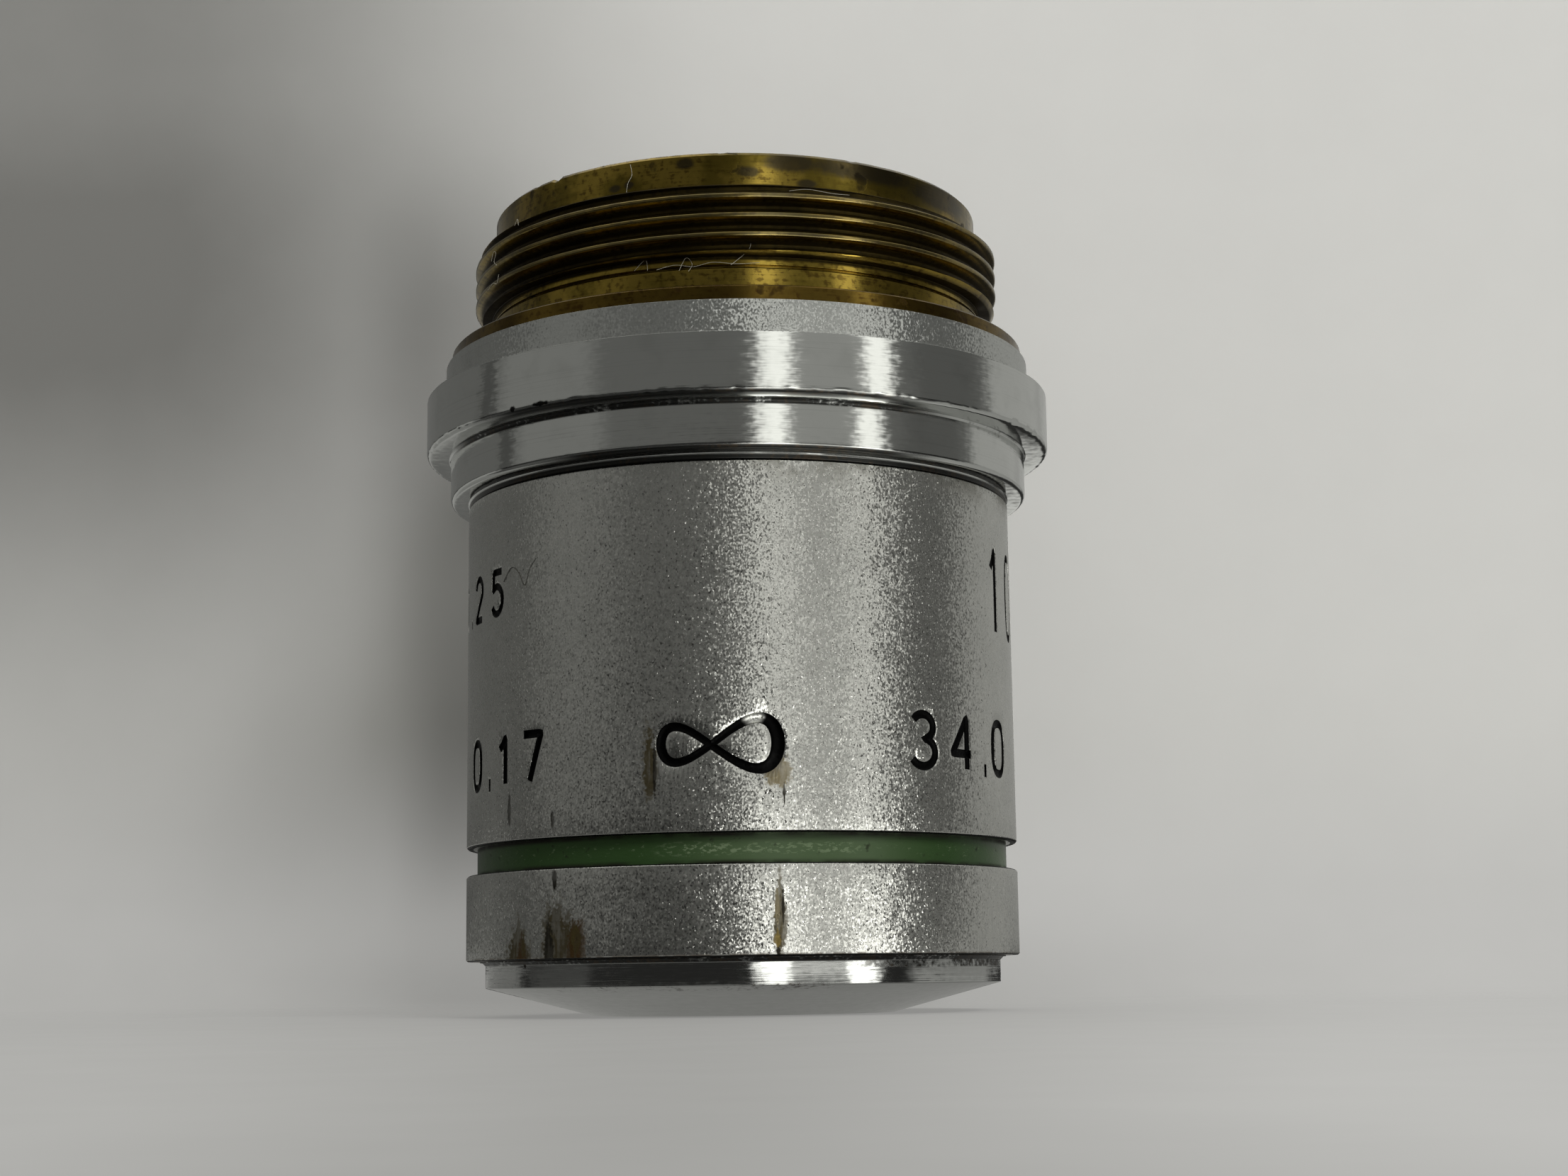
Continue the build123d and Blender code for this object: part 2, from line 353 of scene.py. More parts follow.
def divided(rows, step, wanted):  # more rows, about a step apart, between wanted ones
    finer = []
    for k, row in enumerate(rows):
        finer.append(row)
        following = rows[(k + 1) % len(rows)]
        length = hypot(following[0] - row[0], following[1] - row[1])
        if wanted(row) and wanted(following) and length > step:
            count = round(length / step)
            finer += [
                tuple(row[axis] + (following[axis] - row[axis]) * part / count for axis in (0, 1))
                for part in range(1, count)
            ]
    return finer


def supported(rows, corner, distances):  # more rows at these distances from a corner, for its wear
    finer = []
    margin = rounding["rowMargin"]
    for k, row in enumerate(rows):
        finer.append(row)
        start, finish = Vector(row), Vector(rows[(k + 1) % len(rows)])
        first, last = (start - Vector(corner)).length, (finish - Vector(corner)).length
        passed = [away for away in distances if min(first, last) + margin < away < max(first, last) - margin]
        for away in sorted(passed, reverse=last < first):
            finer.append(tuple(start.lerp(finish, (away - first) / (last - first))))
    return finer


def lathe(name, rows, segments):
    turns = [2 * pi * k / segments for k in range(segments)]
    points = [(radius * sin(turn), -radius * cos(turn), height) for radius, height in rows for turn in turns]
    faces = []
    for row in range(len(rows)):
        low, high = row * segments, (row + 1) % len(rows) * segments
        for k in range(segments):
            nextK = (k + 1) % segments
            faces.append((low + k, low + nextK, high + nextK, high + k))
    piece = linked(name, points, [], faces)
    tidyNormals(piece.data)
    return piece


# Finishes

brassLook = {
    "clean": (0.32, 0.225, 0.042),
    "olive": (0.125, 0.092, 0.015),
    "brown": (0.060, 0.030, 0.008),
    "grimeAndShade": (0.010, 0.007, 0.003),
    "lead": (0.046, 0.038, 0.024),
    "crest": (0.20, 0.18, 0.12),
    "black": (0.012, 0.012, 0.012),
    "rough": (0.15, 0.12, 0.35),  # clean, and added by tarnish, and by dirt and painted shade
    "metal": (1, -0.1),
    "boreRough": 0.25,
    "relief": 0.004 * mm,
    "soft": 0.1,  # mm over which one finish passes into the next
    "valley": (0.31, 0.12),  # depths under the crest, in mm, between which the painted shade in the thread's valleys thins out
    "worn": (0.09, 0.01),  # and between which its crest is worn bright
}


def agedBrass(name, thread=None, bore=0.0, flange=0.0):
    paint = newPaint(name)
    look = brassLook
    soft = look["soft"]
    broad = paint.grain(0.55, 4, shift=3.1)
    fine = paint.grain(4.5, 3, shift=8.2)
    lines = paint.grain(1, 2, stretch=(0.35, 0.35, 16), shift=1.7)
    tarnish = paint.rise(broad * 0.75 + fine * 0.25 + lines * 0.12, 0.42, 0.72)
    colour = paint.mix(tarnish, look["clean"], look["olive"])
    colour = paint.mix(paint.rise(fine + lines * 0.5, 0.78, 0.95) * 0.6, colour, look["brown"])
    dirtAndShade = paint.rise(paint.grain(1.1, 4, shift=5.5), 0.64, 0.72) * 0.75
    if thread:
        pilot = paint.rise(paint.height, thread["top"], thread["top"] + soft)
        stain = paint.highest(*[paint.spot(*values, (fine - 0.5) * 0.8) for values in thread["stains"]])
        colour = paint.mix(pilot * paint.rise(broad, 0.46, 0.56) * 0.55, colour, look["olive"])
        colour = paint.mix(stain * 0.85, colour, look["lead"])
        inThread = paint.between(paint.height, thread["foot"] - 1.2 * soft, thread["top"] + soft, soft / 2)
        deep, shallow = (thread["crest"] - depth for depth in look["valley"])
        valley = inThread * (1 - paint.rise(paint.radius, deep, shallow))
        deep, shallow = (thread["crest"] - depth for depth in look["worn"])
        worn = inThread * paint.rise(paint.radius, deep, shallow)
        colour = paint.mix(worn * 0.4, colour, look["crest"])
        # the thread's valleys are darkened with painted shade, added to the dirt
        dirtAndShade = paint.highest(dirtAndShade * (1 - worn), valley * 0.88)
    colour = paint.mix(dirtAndShade, colour, look["grimeAndShade"])
    metal = paint.total(look["metal"], dirtAndShade)
    rough = paint.total(look["rough"], tarnish, dirtAndShade)
    if flange:
        outside = paint.rise(paint.radius, flange, flange + 1.5 * soft)
        colour = paint.mix(outside * 0.65, colour, look["brown"])
    if bore:
        inside = 1 - paint.rise(paint.radius, bore, bore + soft)
        colour = paint.mix(inside, colour, look["black"])
        metal = metal * (1 - inside)
        rough = rough + inside * look["boreRough"]
    normal = paint.bump(lines * 0.7 + fine * 0.5 - dirtAndShade * 0.6, look["relief"])
    return paint.surface({"Base Color": colour, "Metallic": metal, "Roughness": rough, "Normal": normal})


chromeLook = {
    "clean": (0.62, 0.63, 0.61),
    "dull": (0.40, 0.41, 0.39),
    "smoked": (0.46, 0.465, 0.455),
    "brown": (0.034, 0.021, 0.010),
    "black": (0.008, 0.008, 0.007),
    "rough": (0.07, 0.19, 0.3, 0.06),  # polished, and added by satin, by dirt and painted shade, and by lines
    "metal": (1, -0.15),
    "edge": 0.02,  # mm over which the polish passes into the satin
    "grimeSoft": (0.03, 0.04, 8),  # how softly a dark ring of grime and painted shade ends in height, radius and azimuth
    "polishRelief": 0.003 * mm,
    "satinRelief": 0.004 * mm,
}


# Polished, and satin above the height satinFrom. A dark ring, of grime and painted shade, is its limits in
# height, radius and azimuth, and what share of it is covered
def chrome(name, satinFrom=None, grimeAndShade=(), drops=(), clean="clean"):
    paint = newPaint(name)
    look = chromeLook
    lines = paint.grain(1, 3, stretch=(0.12, 0.12, 22), shift=4.4)
    smudge = paint.grain(0.7, 3, shift=9.7)
    fine = paint.grain(6.0, 2, shift=2.6)
    specks = paint.grain(8.5, 1, shift=6.1)
    satin = 0
    if satinFrom:
        satin = paint.rise(paint.height, satinFrom - look["edge"], satinFrom + look["edge"])
    dull = paint.rise(smudge, 0.5, 0.75) * 0.25 + satin * 0.35 + paint.rise(lines, 0.55, 0.75) * 0.3
    colour = paint.mix(dull, look[clean], look["dull"])
    dirtAndShade = 0
    for limits, share in grimeAndShade:
        covered = paint.rise(fine * 0.6 + smudge * 0.6, 0.9 - share, 1.15 - share) * 0.96
        places = (paint.height, paint.radius, paint.azimuth)
        for where, (low, high), soft in zip(places, limits, look["grimeSoft"]):
            covered = covered * paint.between(where, low, high, soft)
        dirtAndShade = paint.highest(dirtAndShade, covered)
    for drop in drops:
        dirtAndShade = paint.highest(dirtAndShade, paint.spot(*drop, (fine - 0.5) * 1.2))
    # the dark rings' colour, black and brown, for soot and painted shade alike
    soot = paint.mix(paint.rise(smudge * 0.5 + fine * 0.5, 0.5, 0.62), look["black"], look["brown"])
    colour = paint.mix(dirtAndShade, colour, soot)
    metal = paint.total(look["metal"], dirtAndShade)
    rough = paint.total(look["rough"], satin, dirtAndShade, lines)
    buffed = paint.sparkle(1.0, 0.065, (2.2, 2.2, 14), paint.sparkle(4.5, 0.045))
    ground = paint.sparkle(14.0, satin * 0.8, (1, 1, 0.7), buffed, 0.45)
    polish = paint.bump(lines * (1 - satin) + smudge * 0.3, look["polishRelief"], ground)
    normal = paint.bump(specks * satin, look["satinRelief"], polish)
    return paint.surface({"Base Color": colour, "Metallic": metal, "Roughness": rough, "Normal": normal})


satinLook = {
    "light": (0.60, 0.60, 0.57),
    "grey": (0.45, 0.455, 0.43),
    "brown": (0.105, 0.088, 0.05),
    "tan": (0.22, 0.185, 0.11),
    "rust": (0.10, 0.058, 0.022),
    "gold": (0.21, 0.155, 0.05),
    "olive": (0.115, 0.09, 0.035),
    "soot": (0.03, 0.027, 0.02),
    "paint": (0.005, 0.005, 0.005),
    "stains": {  # azimuth, lowest, widest and highest place in mm, half width in degrees, bluntness
        "brown": [(6.9, 1.9, 3.0, 4.7, 1.3, 1.3), (-38.9, 1.8, 2.3, 3.9, 3.2, 2.5),
                  (-17.6, 7.3, 8.2, 9.9, 1.5, 1.8), (171, 1.9, 2.2, 3.1, 3.0, 1.2),
                  (-49.5, 1.9, 2.02, 3.4, 4.6, 1.15), (-36.3, 1.8, 2.3, 3.5, 4.0, 3)],
        "tan": [(6.8, 7.65, 8.2, 8.75, 2.4, 2.2), (6.4, 2.9, 3.6, 4.3, 0.5, 1.2)],
        "soot": [(-40.3, 1.8, 2.3, 3.3, 1.2, 2), (6.5, 1.9, 2.2, 2.6, 0.5, 1), (-38.8, 4.3, 4.7, 5.1, 0.6, 2),
                 (-52.6, 6.7, 7.2, 7.9, 0.6, 1.5), (-39.4, 6.5, 6.8, 7.1, 0.5, 1.5),
                 (8.0, 6.9, 7.5, 7.9, 0.3, 1), (-16.6, 7.4, 8.2, 9.7, 0.35, 1.5),
                 (7.5, 3.0, 3.6, 4.5, 0.35, 1)],
        "rust": [(-48.2, 1.9, 2.02, 2.9, 1.6, 1.15), (-33.4, 1.8, 2.3, 3.4, 2.2, 2.2),
                 (118, 1.9, 2.1, 2.9, 2.6, 1.2)],
        "gold": [(6.4, 2.25, 2.5, 2.9, 0.7, 1.2)],
        "olive": [(-47.6, 2.1, 2.3, 2.9, 0.6, 1.3), (-33.6, 2.2, 2.7, 3.3, 1.2, 1.3)],
    },
    "rough": (0.29, -0.14, 0.25),  # plain, and added by glints and cover
    "metal": (1, -0.12),
    "footRust": 0.14,  # mm of the lower edge that rust creeps over
    "crownDirt": 1.1,  # mm under the collar where dirt gathers, between these azimuths
    "crownWithin": (-8, 88, 20),
    "paintDepth": (0.022, 0.015),  # mm inside the barrel's surface where an engraving's black paint starts
    "paintFloor": (0.25, 0.24),  # and no further in than this
    "paintLost": (2.3, 10.2, 2.0, 0.42),
    "relief": 0.004 * mm,
}


def satinChrome(name, barrel, foot, top):
    paint = newPaint(name)
    look = satinLook
    specks = paint.grain(8.0, 1.5, shift=6.1)
    blasted = paint.grain(3.4, 3, shift=1.3)
    smudge = paint.grain(0.45, 4, shift=7.7)
    ragged = (paint.grain(3.0, 3, shift=2.2) - 0.5) * 2.2
    greyed = paint.rise(smudge * 0.6 + blasted * 0.4, 0.36, 0.66)
    colour = paint.mix(greyed * 0.4, look["light"], look["grey"])
    drips = (paint.grain(1.0, 3, stretch=(5, 5, 0.9), shift=3.9) - 0.5) * 2.4
    edge = (1 - paint.rise(paint.height, foot, foot + look["footRust"])) * paint.rise(blasted, 0.42, 0.56)
    crown = paint.rise(paint.height, top - look["crownDirt"], top)
    crown = crown * paint.rise(smudge + blasted * 0.4, 0.62, 0.85)
    crown = crown * paint.between(paint.azimuth, *look["crownWithin"])
    stained = paint.highest(edge * 0.9, crown * 0.45)
    colour = paint.mix(crown * 0.45, colour, look["brown"])
    colour = paint.mix(edge * 0.9, colour, look["rust"])
    frayed = ragged * 0.34 + drips * 0.42 + specks - 0.5
    veil = 0.72 + paint.rise(drips + ragged * 0.5, -0.35, 0.25) * 0.28
    for tone, stains in look["stains"].items():
        reach = paint.highest(*[paint.stain(*stain, frayed) for stain in stains]) * veil
        colour = paint.mix(reach, colour, look[tone])
        stained = paint.highest(stained, reach)
    engraved = 1 - paint.rise(paint.radius, *(barrel - depth for depth in look["paintDepth"]))
    onBarrel = paint.rise(paint.radius, *(barrel - depth for depth in look["paintFloor"]))
    lost = paint.spot(*look["paintLost"], ragged * 0.15)
    black = engraved * onBarrel * (1 - lost * 0.9)
    colour = paint.mix(black, colour, look["paint"])
    covered = paint.highest(stained, black)
    glints = paint.rise(paint.grain(13.0, 1, stretch=(1, 1, 0.8), shift=5.2), 0.54, 0.66)
    rough = paint.total(look["rough"], glints, covered)
    facets = paint.sparkle(5.5, 0.22, (1, 1, 0.8), upright=0.6)
    facets = paint.sparkle(15.0, 0.6 + glints * 0.75 - covered * 0.55, (1, 1, 0.75), facets, 0.5)
    normal = paint.bump(specks + blasted * 0.5, look["relief"], facets)
    metal = paint.total(look["metal"], stained)
    return paint.surface({"Base Color": colour, "Metallic": metal, "Roughness": rough, "Normal": normal})


enamelLook = {
    "deep": (0.022, 0.050, 0.014),
    # the lighter green of wear, also used for the painted highlight
    "worn": (0.125, 0.17, 0.095),
    "dirtAndShade": (0.010, 0.010, 0.006),
    "rough": (0.30, 0.2, 0.3),  # whole, and added by wear, and by dirt and painted shade
    "sheen": 0.17,
    "relief": 0.012 * mm,
    "middle": (0.28, 0.3, 0.15),  # mm from its lower and upper edge, and how softly it starts there
    # the band is clear of painted shade this far from its edges
    "clean": (0.1, 0.12, 0.08),
    "rubbed": (-14, 26, 7),  # from and to azimuth, and softness
    # azimuths and softness of the painted highlight in front, then from and to azimuth of the one on the
    # right
    "paintedHighlight": (-8, 34, 14),
    "paintedHighlightSide": (58, 84),
}


def greenEnamel(name, foot, top):
    paint = newPaint(name)
    look = enamelLook
    broad = paint.grain(0.8, 3, shift=2.9)
    flecks = paint.grain(5.5, 5, stretch=(0.8, 0.8, 1.9), shift=7.3, rough=0.65)
    middle, clean = (
        paint.between(paint.height, foot + low, top - high, soft)
        for low, high, soft in (look["middle"], look["clean"])
    )
    rubbed = paint.between(paint.azimuth, *look["rubbed"])
    chipped, scuffed = paint.rise(flecks, 0.60, 0.66), paint.rise(flecks, 0.50, 0.58)
    worn = middle * paint.highest(chipped * 0.5, rubbed * scuffed)
    # a painted highlight: lighter green in front and towards the right edge
    paintedHighlight = paint.between(paint.azimuth, *look["paintedHighlight"]) * 0.38
    paintedHighlight = paintedHighlight + paint.rise(paint.azimuth, *look["paintedHighlightSide"]) * 0.35
    colour = paint.mix(paint.highest(worn, paintedHighlight), look["deep"], look["worn"])
    patches = paint.rise(paint.grain(2.5, 3, shift=5.0), 0.62, 0.72)
    # painted shade along the band's edges from the groove's walls, and dirt in patches
    dirtAndShade = paint.highest((1 - clean) * paint.rise(broad, 0.2, 0.6), patches * 0.7)
    return paint.surface({
        "Base Color": paint.mix(dirtAndShade, colour, look["dirtAndShade"]),
        "Roughness": paint.total(look["rough"], worn, dirtAndShade),
        "Normal": paint.bump(flecks * 0.6 + broad, look["relief"]),
        "Specular IOR Level": look["sheen"],
    })


blackenedLook = {  # the black, and the metal that shows where it is rubbed
    "brass": [(0.030, 0.026, 0.021), (0.22, 0.17, 0.07)],
    "aluminium": [(0.026, 0.026, 0.029), (0.20, 0.20, 0.21)],
    "rough": (0.52, -0.15),
    "metal": (0.3, 0.6),
    "relief": 0.006 * mm,
}


def blackened(name, kind):
    paint = newPaint(name)
    look = blackenedLook
    fine = paint.grain(5.0, 3)
    lines = paint.grain(1, 2, stretch=(0.3, 0.3, 12), shift=3.3)
    rubbed = paint.rise(fine * 0.6 + lines * 0.5, 0.62, 0.85)
    return paint.surface({
        "Base Color": paint.mix(rubbed * 0.5, *look[kind]),
        "Metallic": paint.total(look["metal"], rubbed),
        "Roughness": paint.total(look["rough"], rubbed),
        "Normal": paint.bump(lines + fine * 0.5, look["relief"]),
    })


glassLook = {
    "crown": 1.517,
    "flint": 1.620,
    "tint": (0.93, 0.97, 0.96, 1),
    "coating": (0.62, 0.66, 1.0, 1),
    "rough": (0.02, 0.25),  # clean, and added by dust
    "coat": (0.35, -0.2),
    "coatRough": 0.03,
}


def opticalGlass(name, kind):
    paint = newPaint(name)
    look = glassLook
    dust = paint.rise(paint.grain(9.0, 3), 0.66, 0.74)
    return paint.surface({
        "Base Color": look["tint"],
        "Roughness": paint.total(look["rough"], dust),
        "IOR": look[kind],
        "Transmission Weight": 1.0,
        "Coat Weight": paint.total(look["coat"], dust),
        "Coat Roughness": look["coatRough"],
        "Coat Tint": look["coating"],
    })


lintLook = {
    "dull": (0.26, 0.24, 0.19),
    "pale": (0.46, 0.44, 0.38),
    "dark": (0.035, 0.033, 0.026),
    "darkBelow": (19, 20),  # heights in mm between which a fibre turns from dark to pale
    "rough": 0.7,
}


def lintFinish(name):
    paint = newPaint(name)
    tone = paint.mix(paint.grain(4.0, 2), lintLook["dull"], lintLook["pale"])
    tone = paint.mix(paint.rise(paint.height, *lintLook["darkBelow"]), lintLook["dark"], tone)
    return paint.surface({"Base Color": tone, "Roughness": lintLook["rough"]})


# Main body: the turned blank, then a right-handed thread cut into it

bodyForm = {
    "segments": 444,
    "soft": 0.03 * mm,
    "pitch": 0.7056 * mm,
    "cutDepth": 0.45 * mm,
    "valleyHeight": 27.48 * mm,  # a valley's height on the generatrix at azimuth 0
    "rowStep": 0.026 * mm,
    "flanks": [  # how the rise from root to crest is mixed: its kind, its limits in a half pitch, its share
        ("LINEAR", 1 / 6, 5 / 6, 0.6),
        ("SMOOTHSTEP", 0.1, 0.9, 0.4),
    ],
    "threadBand": 0.7 * mm,  # the thread's corners lie this near the crest's radius
    "pilotHeight": 1 * mm,  # and this far below the rim, at least
    "rimBand": 0.3 * mm,
    "wall": 1.6 * mm,  # the bore lies this far inside the crest, at least
    "margin": 0.01 * mm,
    "boreEdge": 0.05,
    "stains": [  # azimuth, place below the rim, half width in degrees and half height in mm
        (12.5, 0.35, 6, 0.35), (30, 0.35, 14, 0.38), (55, 0.5, 12, 0.5), (-11.0, 0.38, 2.0, 0.2),
        (-27.5, 1.0, 1.4, 0.14), (-24.0, 0.95, 1.2, 0.14), (3.0, 0.75, 2.4, 0.2), (16, 1.1, 2.2, 0.16),
    ],
    "wornRows": [0.08 * mm * k for k in range(1, 6)],
    "wearReach": 0.30 * mm,
    "ripple": 0.012 * mm,
    "rippleScale": 9,
    "nicks": [  # azimuth in degrees, width and depth in mm
        (-44.5, 0.42, 0.13), (-52.0, 0.30, 0.03), (27.0, 0.35, 0.03), (-3.0, 0.3, 0.025), (152, 0.5, 0.08),
    ],
    "burr": 0.25,  # height beside a nick, as a share of its depth
    "burrPlace": 1.5,  # in half widths of the nick
    "burrSlope": 2.5,
}


def threadForm():
    form = Form("cutThread", ["Pitch", "Crest Radius", "Root Radius", "Valley Height", "Foot", "Top"])
    size = form.sizes
    x = form.node("ShaderNodeSeparateXYZ", values={0: form.place})
    y, z = x.other(1), x.other(2)
    radius = (x * x + y * y) ** 0.5
    turn = form.maths("ARCTAN2", x, -1 * y) / (2 * pi)
    phase = (z - size["Valley Height"]) / size["Pitch"] - turn
    wave = form.maths("PINGPONG", phase, 0.5) * 2
    share = 0
    for kind, low, high, part in bodyForm["flanks"]:
        values = {"Value": wave, "From Min": low, "From Max": high}
        share = share + form.node("ShaderNodeMapRange", {"interpolation_type": kind}, values) * part
    wanted = size["Root Radius"] + (size["Crest Radius"] - size["Root Radius"]) * share
    inside = form.maths("GREATER_THAN", z, size["Foot"]) * form.maths("LESS_THAN", z, size["Top"])
    cut = form.maths("MINIMUM", radius, wanted) / radius
    outer = form.maths("GREATER_THAN", radius, size["Root Radius"])
    scale = 1 + (cut - 1) * inside * outer
    moved = form.node("ShaderNodeCombineXYZ", {}, {0: x * scale, 1: y * scale, 2: z})
    form.end(form.node("GeometryNodeSetPosition", {}, {"Geometry": form.start, "Position": moved}))
    return form


def awayFrom(azimuth, width, radius, turn):  # in half widths
    return abs(turn - radians(azimuth)) * radius / (width * mm / 2)


def wearRim(piece, rim):
    for vertex in piece.data.vertices:
        radius, turn, height = polar(vertex.co)
        near = 1 - (rim - height) / bodyForm["wearReach"]
        if near <= 0:
            continue
        sink = bodyForm["ripple"] * max(0, noise.noise(Vector((turn * bodyForm["rippleScale"], 0, 3))))
        for azimuth, width, depth in bodyForm["nicks"]:
            away = awayFrom(azimuth, width, radius, turn)
            burr = max(0, 1 - abs(away - bodyForm["burrPlace"]) * bodyForm["burrSlope"])
            sink += depth * mm * (max(0, 1 - away) ** 0.7 - bodyForm["burr"] * burr)
        vertex.co = fromPolar(radius, turn, height - sink * near)


def mainBody():
    section = sectionOf("main_body")
    radii, heights = within(section)
    crest, rim = radii[-1], heights[-1]
    pilotFoot = rim - bodyForm["pilotHeight"]
    heights = within(section, inner=crest - bodyForm["threadBand"], high=pilotFoot)[1]
    foot, top = heights[1], heights[-1]
    root = crest - bodyForm["cutDepth"]
    margin = bodyForm["margin"]

    def cut(row):
        return row[0] > root - 6 * margin and foot - margin < row[1] < top + margin

    rows = divided(softened(section, bodyForm["soft"]), bodyForm["rowStep"], cut)
    pilot = within(section, low=rim - bodyForm["rimBand"])[0][-1]
    rows = supported(rows, (pilot, rim), bodyForm["wornRows"])
    piece = lathe("main_body_threaded", rows, bodyForm["segments"])
    wearRim(piece, rim)
    threadForm().grow(piece, {
        "Pitch": bodyForm["pitch"], "Crest Radius": crest, "Root Radius": root,
        "Valley Height": bodyForm["valleyHeight"], "Foot": foot, "Top": top,
    })
    stains = [(azimuth, rim / mm - below, *halves) for azimuth, below, *halves in bodyForm["stains"]]
    thread = {"foot": foot / mm, "top": top / mm, "crest": crest / mm, "stains": stains}
    bore = within(section, outer=crest - bodyForm["wall"], low=pilotFoot)[0][-1]
    shaded(piece)
    handOver(piece, "main_body", agedBrass("brassThread", thread, bore / mm + bodyForm["boreEdge"]))


# Collar: softened edges, and a chipped lower edge on the wide band

collarForm = {
    "segments": 480,
    "soft": 0.05 * mm,
    "steps": 6,
    "sharp": 0.2,  # shares of soft, at the upper edges and at the lower edges of the two bands
    "blunt": 4.4,
    "bandDepth": 0.2 * mm,  # a band's corners lie within this of its radius
    "bandGap": 0.3 * mm,
    "wornRows": [0.05 * mm * k for k in range(1, 8)],
    "wearReach": 0.24 * mm,
    "wearDepth": 0.045 * mm,
    "wearRise": 0.6,  # how far the edge is worn upwards, as a share of how far it is worn inwards
    "waves": [(1, 55, 1.5), (0.6, 140, 7.5)],  # strength, scale and place of the noise round the edge
    "chips": [  # azimuth in degrees, width and depth in mm
        (57.5, 0.5, 0.10), (63, 0.3, 0.08), (67, 0.4, 0.09), (-57, 0.3, 0.05), (118, 0.5, 0.06),
        (-141, 0.4, 0.05),
    ],
    "satinBelow": 0.03,  # mm under the wide band's upper edge where the satin ring's finish starts
    "grimeAndShade": [  # limits in height and radius, from a named edge in mm, in azimuth, and the share covered
        # painted shade round the collar's root
        ([("foot", -0.4, 0.20)], 0.8),
        # a painted dark reflection under the wide band, towards the front
        ([("bandFoot", -0.05, 0.12), ("widest", -0.42, -0.01), ("front", -48, 30)], 0.8),
        # painted shade at the wide band's root, towards the front
        ([("bandFoot", -0.22, 0.0), ("second", -0.1, 0.16), ("front", -70, 38)], 0.6),
        # grime on the right
        ([("bandFoot", -0.3, 0.0), ("second", -0.1, 0.12), ("front", 50, 110)], 0.3),
        # a painted dark reflection under the second band, towards the front
        ([("secondFoot", -0.05, 0.13), ("second", -0.3, 0.02), ("front", -36, 36)], 0.85),
    ],
    "drops": [(-41.5, 0.13, 0.6, 0.12), (-35.0, 0.13, 1.8, 0.09)],  # azimuth, height over bandFoot, sizes
}


def wearEdge(piece, edge):
    for vertex in piece.data.vertices:
        radius, turn, height = polar(vertex.co)
        near = 1 - hypot(radius - edge[0], height - edge[1]) / collarForm["wearReach"]
        if near <= 0:
            continue
        ragged = sum(
            strength * noise.noise(Vector((turn * scale, place, 0)))
            for strength, scale, place in collarForm["waves"]
        )
        bite = collarForm["wearDepth"] * max(0, ragged)
        for azimuth, width, depth in collarForm["chips"]:
            bite += depth * mm * max(0, 1 - awayFrom(azimuth, width, radius, turn))
        vertex.co = fromPolar(radius - bite * near, turn, height + bite * near * collarForm["wearRise"])


def shoulderCollar():
    section = sectionOf("shoulder_collar")
    depth, gap = collarForm["bandDepth"], collarForm["bandGap"]
    radii, heights = within(section)
    widest, foot, top = radii[-1], heights[0], heights[-1]
    band = within(section, inner=widest - depth)[1]
    bandFoot, bandTop = band[0], band[-1]
    second = within(section, high=bandFoot - gap)[0][-1]
    secondFoot = within(section, inner=second - depth, high=bandFoot - gap)[1][0]
    ringOut = within(section, low=top - gap)[0][-1]
    edges = [(widest, bandFoot), (second, secondFoot)]
    for corner in ((widest, bandTop), (ringOut, top), *edges):
        section = squared(section, corner)
    blunt = [tuple(Vector(corner)) for corner in edges]

    def roundness(corner):
        if corner.y > bandTop - gap:
            return collarForm["sharp"]
        return collarForm["blunt"] if tuple(corner) in blunt else 1

    rows = softened(section, collarForm["soft"], collarForm["steps"], roundness)
    rows = supported(rows, edges[0], collarForm["wornRows"])
    piece = lathe("shoulder_collar_worn", rows, collarForm["segments"])
    wearEdge(piece, edges[0])
    shaded(piece)
    places = {
        "foot": foot, "bandFoot": bandFoot, "secondFoot": secondFoot, "widest": widest, "second": second,
        "front": 0,
    }
    grimeAndShade = [
        ([(places[key] / mm + low, places[key] / mm + high) for key, low, high in limits], share)
        for limits, share in collarForm["grimeAndShade"]
    ]
    drops = [(azimuth, bandFoot / mm + above, *halves) for azimuth, above, *halves in collarForm["drops"]]
    satinFrom = bandTop / mm - collarForm["satinBelow"]
    handOver(piece, "shoulder_collar", chrome("chromeCollar", satinFrom, grimeAndShade, drops))


# Engraving: strokes as lines with half widths, thickened and bent round the barrel by one geometry tree

def strokeForm():
    form = Form("bendStrokes", ["Barrel Radius", "Widen", "Flatten", "Lift", "Spacing", "Sides"])
    size = form.sizes
    curve = form.node("GeometryNodeMeshToCurve", {}, {"Mesh": form.start})
    values = {"Curve": curve, "Length": size["Spacing"]}
    curve = form.node("GeometryNodeResampleCurve", {"mode": "LENGTH"}, values)
    half = form.node("GeometryNodeInputNamedAttribute", {"data_type": "FLOAT"}, {"Name": "halfWidth"})
    profile = form.node("GeometryNodeCurvePrimitiveCircle", {}, {"Resolution": size["Sides"], "Radius": 1.0})
    tube = form.node("GeometryNodeCurveToMesh", {}, {
        "Curve": curve, "Profile Curve": profile, "Scale": half + size["Widen"], "Fill Caps": True,
    })
    x = form.node("ShaderNodeSeparateXYZ", values={0: form.place})
    radius = size["Barrel Radius"] + size["Lift"] - x.other(1) * size["Flatten"]
    turn = x / size["Barrel Radius"]
    bent = form.node("ShaderNodeCombineXYZ", {}, {
        0: radius * form.maths("SINE", turn), 1: -1 * (radius * form.maths("COSINE", turn)), 2: x.other(2),
    })
    form.end(form.node("GeometryNodeSetPosition", {}, {"Geometry": tube, "Position": bent}))
    return form


